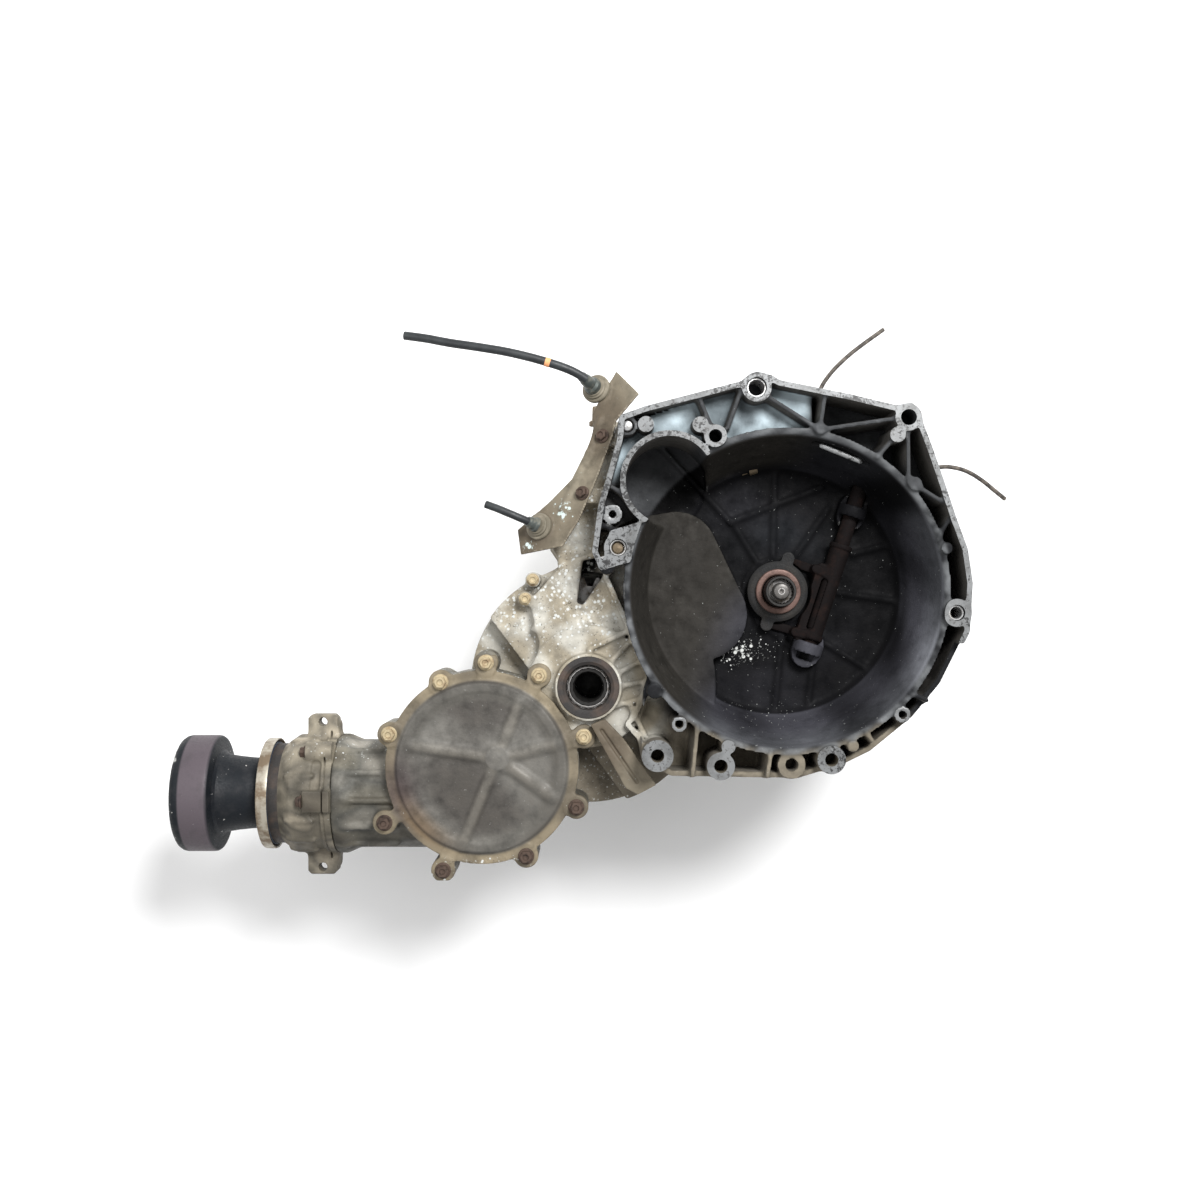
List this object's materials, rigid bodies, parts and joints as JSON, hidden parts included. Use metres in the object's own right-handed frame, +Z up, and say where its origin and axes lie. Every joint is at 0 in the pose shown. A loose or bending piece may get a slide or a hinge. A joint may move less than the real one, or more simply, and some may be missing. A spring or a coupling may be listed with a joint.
{
  "type": "manual transmission",
  "caption": "Transverse manual transaxle with an open bell housing, bolted bevel transfer drive, propshaft flange, shift-cable bracket and working gear train.",
  "frame": {"origin": "centre of the base, under the middle of the assembly's box without its free cables", "axes": "+Z up along the input shaft and out of the bell mouth, +X from the propshaft flange towards the bell housing, +Y towards the shift-cable bracket"},
  "size_m": [0.8894, 0.5888, 0.345],
  "materials": {
    "dark_aluminium": "sand-cast, oil-stained and dirty, machined faces bright",
    "pale_aluminium": "sand-cast, chalky white corrosion",
    "cover_aluminium": "sand-cast, grey-brown dirt and chips",
    "gear_steel": "ground and oiled",
    "bearing_steel": "polished",
    "black_steel": "matte black, chipped at the rim",
    "zinc_steel": "dull zinc plating",
    "bracket_steel": "tan primer with rust and chips",
    "rusty_steel": "dark red-brown rust",
    "bolt_steel": "yellowed zinc, some rusty",
    "copper_ring": "worn, copper-tinted",
    "seal_rubber": "brown, greasy",
    "black_plastic": "moulded, dusty",
    "cable_jacket": "extruded jacket, worn"
  },
  "bodies": {
    "case": {"bell_housing": "dark_aluminium", "gear_case": "pale_aluminium", "end_cover": "pale_aluminium", "transfer_case": "cover_aluminium", "transfer_cover": "cover_aluminium", "cover_bolt_1": "bolt_steel", "cover_bolt_2": "bolt_steel", "cover_bolt_3": "bolt_steel", "cover_bolt_4": "bolt_steel", "cover_bolt_5": "bolt_steel", "cover_bolt_6": "bolt_steel", "cover_bolt_7": "bolt_steel", "cover_bolt_8": "bolt_steel", "cover_bolt_9": "bolt_steel", "pinion_carrier": "cover_aluminium", "selector_tower": "black_plastic", "guide_tube": "zinc_steel", "input_bearing_front": "bearing_steel", "input_bearing_rear": "bearing_steel", "output_bearing_front": "bearing_steel", "output_bearing_rear": "bearing_steel", "diff_bearing_upper": "bearing_steel", "diff_bearing_lower": "bearing_steel", "driveshaft_seal": "seal_rubber", "cable_bracket": "bracket_steel", "grommet_upper": "black_plastic", "grommet_lower": "black_plastic", "shift_cable": "cable_jacket", "select_cable": "cable_jacket", "breather_lead": "bolt_steel", "switch_lead": "bolt_steel", "support_bar": "bracket_steel"},
    "input_line": {"input_shaft": "gear_steel"},
    "output_line": {"output_shaft": "gear_steel"},
    "gear_first_body": {"gear_first": "gear_steel"},
    "gear_second_body": {"gear_second": "gear_steel"},
    "gear_third_body": {"gear_third": "gear_steel"},
    "gear_fourth_body": {"gear_fourth": "gear_steel"},
    "gear_fifth_body": {"gear_fifth": "gear_steel"},
    "gear_reverse_body": {"gear_reverse": "gear_steel"},
    "idler_body": {"reverse_idler": "gear_steel"},
    "differential": {"diff_case": "gear_steel", "final_drive_gear": "gear_steel"},
    "right_side_gear": {"side_gear_right": "gear_steel"},
    "left_side_gear": {"side_gear_left": "gear_steel"},
    "transfer_line": {"transfer_shaft": "gear_steel"},
    "flange_line": {"bevel_pinion": "gear_steel", "output_flange": "black_steel", "dust_deflector": "zinc_steel"},
    "sleeve_5_r_body": {"sleeve_5_r": "bearing_steel"},
    "sleeve_1_2_body": {"sleeve_1_2": "bearing_steel"},
    "sleeve_3_4_body": {"sleeve_3_4": "bearing_steel"},
    "fork_5_r_body": {"fork_5_r": "rusty_steel"},
    "fork_1_2_body": {"fork_1_2": "rusty_steel"},
    "fork_3_4_body": {"fork_3_4": "rusty_steel"},
    "shifter": {"shift_lever": "zinc_steel"},
    "release_lever_line": {"release_shaft": "rusty_steel", "release_fork": "rusty_steel", "release_lever": "zinc_steel"},
    "release_slider": {"release_bearing": "copper_ring"}
  },
  "joints": [
    {"name": "input_spin", "type": "hinge", "parent": "case", "child": "input_line", "pos_m": [0.227, 0.038, 0.145], "axis": [0, 0, 1], "continuous": true},
    {"name": "gear_first_spin", "type": "hinge", "parent": "case", "child": "gear_first_body", "pos_m": [0.14568, 0.01327, 0.145], "axis": [0, 0, 1], "continuous": true},
    {"name": "gear_second_spin", "type": "hinge", "parent": "case", "child": "gear_second_body", "pos_m": [0.14568, 0.01327, 0.145], "axis": [0, 0, 1], "continuous": true},
    {"name": "gear_third_spin", "type": "hinge", "parent": "case", "child": "gear_third_body", "pos_m": [0.14568, 0.01327, 0.145], "axis": [0, 0, 1], "continuous": true},
    {"name": "gear_fourth_spin", "type": "hinge", "parent": "case", "child": "gear_fourth_body", "pos_m": [0.14568, 0.01327, 0.145], "axis": [0, 0, 1], "continuous": true},
    {"name": "gear_fifth_spin", "type": "hinge", "parent": "case", "child": "gear_fifth_body", "pos_m": [0.14568, 0.01327, 0.145], "axis": [0, 0, 1], "continuous": true},
    {"name": "idler_spin", "type": "hinge", "parent": "case", "child": "idler_body", "pos_m": [0.1989, 0.0763, 0.145], "axis": [0, 0, 1], "continuous": true},
    {"name": "gear_reverse_spin", "type": "hinge", "parent": "case", "child": "gear_reverse_body", "pos_m": [0.14568, 0.01327, 0.145], "axis": [0, 0, 1], "continuous": true},
    {"name": "diff_spin", "type": "hinge", "parent": "case", "child": "differential", "pos_m": [0.027, -0.061, 0.145], "axis": [0, 0, 1], "continuous": true},
    {"name": "output_spin", "type": "hinge", "parent": "case", "child": "output_line", "pos_m": [0.14568, 0.01327, 0.145], "axis": [0, 0, 1], "continuous": true},
    {"name": "transfer_spin", "type": "hinge", "parent": "case", "child": "transfer_line", "pos_m": [-0.08322, -0.14404, 0.265], "axis": [0, 0, 1], "continuous": true},
    {"name": "flange_spin", "type": "hinge", "parent": "case", "child": "flange_line", "pos_m": [-0.273, -0.18, 0.23], "axis": [1, 0, 0], "continuous": true},
    {"name": "right_side_spin", "type": "hinge", "parent": "differential", "child": "right_side_gear", "pos_m": [0.027, -0.061, 0.145], "axis": [0, 0, 1], "continuous": true},
    {"name": "left_side_spin", "type": "hinge", "parent": "differential", "child": "left_side_gear", "pos_m": [0.027, -0.061, 0.145], "axis": [0, 0, 1], "continuous": true},
    {"name": "shift_turn", "type": "hinge", "parent": "case", "child": "shifter", "pos_m": [0.097, 0.188, 0.177], "axis": [0, 1, 0], "range_deg": [-14, 14]},
    {"name": "fork_5_r_slide", "type": "slide", "parent": "case", "child": "fork_5_r_body", "axis": [0, 0, 1], "range_m": [-0.006, 0.006]},
    {"name": "sleeve_5_r_slide", "type": "slide", "parent": "output_line", "child": "sleeve_5_r_body", "axis": [0, 0, 1], "range_m": [-0.0062, 0.0062]},
    {"name": "fork_1_2_slide", "type": "slide", "parent": "case", "child": "fork_1_2_body", "axis": [0, 0, 1], "range_m": [-0.006, 0.006]},
    {"name": "sleeve_1_2_slide", "type": "slide", "parent": "output_line", "child": "sleeve_1_2_body", "axis": [0, 0, 1], "range_m": [-0.0062, 0.0062]},
    {"name": "fork_3_4_slide", "type": "slide", "parent": "case", "child": "fork_3_4_body", "axis": [0, 0, 1], "range_m": [-0.0061, 0.0061]},
    {"name": "sleeve_3_4_slide", "type": "slide", "parent": "output_line", "child": "sleeve_3_4_body", "axis": [0, 0, 1], "range_m": [-0.0062, 0.0062]},
    {"name": "release_turn", "type": "hinge", "parent": "case", "child": "release_lever_line", "pos_m": [0.27327, 0.0228, 0.267], "axis": [0.312, 0.9501, 0], "range_deg": [0, 9.4]},
    {"name": "release_slide", "type": "slide", "parent": "case", "child": "release_slider", "axis": [0, 0, 1], "range_m": [0, 0.0081]}
  ],
  "couplings": [
    {"joint": "gear_first_spin", "follows": "input_spin", "ratio": -0.25926},
    {"joint": "gear_second_spin", "follows": "input_spin", "ratio": -0.41667},
    {"joint": "gear_third_spin", "follows": "input_spin", "ratio": -0.7},
    {"joint": "gear_fourth_spin", "follows": "input_spin", "ratio": -1},
    {"joint": "gear_fifth_spin", "follows": "input_spin", "ratio": -1.4286},
    {"joint": "idler_spin", "follows": "input_spin", "ratio": -0.72727},
    {"joint": "gear_reverse_spin", "follows": "input_spin", "ratio": 0.36364},
    {"joint": "output_spin", "follows": "diff_spin", "ratio": -3.6667},
    {"joint": "transfer_spin", "follows": "diff_spin", "ratio": -0.58621},
    {"joint": "flange_spin", "follows": "diff_spin", "ratio": -1.4069},
    {"joint": "left_side_spin", "follows": "right_side_spin", "ratio": -1},
    {"joint": "sleeve_5_r_slide", "follows": "fork_5_r_slide", "ratio": 1},
    {"joint": "sleeve_1_2_slide", "follows": "fork_1_2_slide", "ratio": 1},
    {"joint": "fork_3_4_slide", "follows": "shift_turn", "m_per_rad": 0.024555},
    {"joint": "sleeve_3_4_slide", "follows": "shift_turn", "m_per_rad": 0.024555},
    {"joint": "release_slide", "follows": "release_turn", "m_per_rad": 0.0487}
  ]
}
